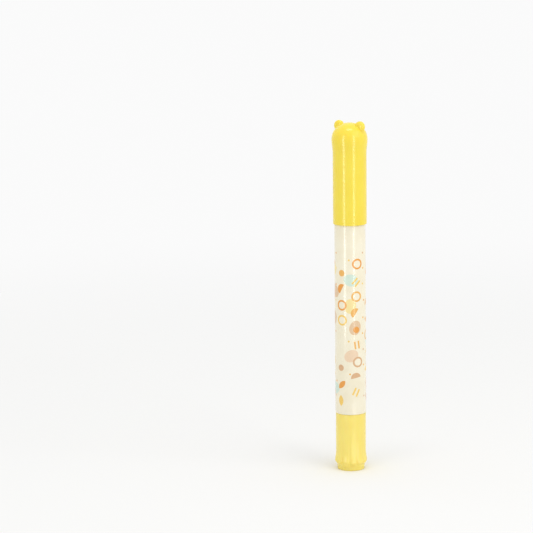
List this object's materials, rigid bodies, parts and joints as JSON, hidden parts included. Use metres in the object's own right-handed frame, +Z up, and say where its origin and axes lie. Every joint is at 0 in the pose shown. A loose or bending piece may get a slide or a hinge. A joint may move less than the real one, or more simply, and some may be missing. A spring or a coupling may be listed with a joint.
{
  "type": "twist crayon",
  "caption": "Twist-up wax crayon with a pull-off eared cap, a printed barrel and a lobed knob whose lead screw feeds the wax through a nozzle.",
  "frame": {"origin": "middle of the foot's flat underside, on the crayon's axis", "axes": "+Z up along the crayon towards the cap, +X towards one of the cap's two ears, -Y square to the ears' faces"},
  "size_m": [0.0144, 0.0142, 0.141],
  "materials": {
    "yellow_plastic": "glossy injection moulded plastic",
    "barrel_plastic": "cream moulded plastic",
    "printed_film": "glossy printed film with a small confetti pattern",
    "yellow_wax": "soft waxy satin surface",
    "white_plastic": "plain white mechanism plastic",
    "black_rubber": "soft rubber"
  },
  "bodies": {
    "barrel": {"barrel": "barrel_plastic", "printed_sleeve": "printed_film", "nozzle": "yellow_plastic", "tail_bush": "white_plastic", "drag_ring": "black_rubber"},
    "knob": {"twist_knob": "yellow_plastic", "end_plug": "yellow_plastic", "lead_screw": "white_plastic"},
    "carriage": {"pusher": "white_plastic", "wax_cup": "white_plastic", "wax_stick": "yellow_wax"},
    "cap": {"cap": "yellow_plastic"}
  },
  "joints": [
    {"name": "cap_pull", "type": "slide", "parent": "barrel", "child": "cap", "axis": [0, 0, 1], "range_m": [0, 0.055]},
    {"name": "knob_twist", "type": "hinge", "parent": "barrel", "child": "knob", "pos_m": [0, 0, 0.0117], "axis": [0, 0, 1], "range_deg": [-1261, 1051]},
    {"name": "wax_feed", "type": "slide", "parent": "barrel", "child": "carriage", "axis": [0, 0, 1], "range_m": [-0.021, 0.0175]}
  ],
  "couplings": [
    {"joint": "knob_twist", "follows": "wax_feed", "rad_per_m": 1047.2}
  ]
}
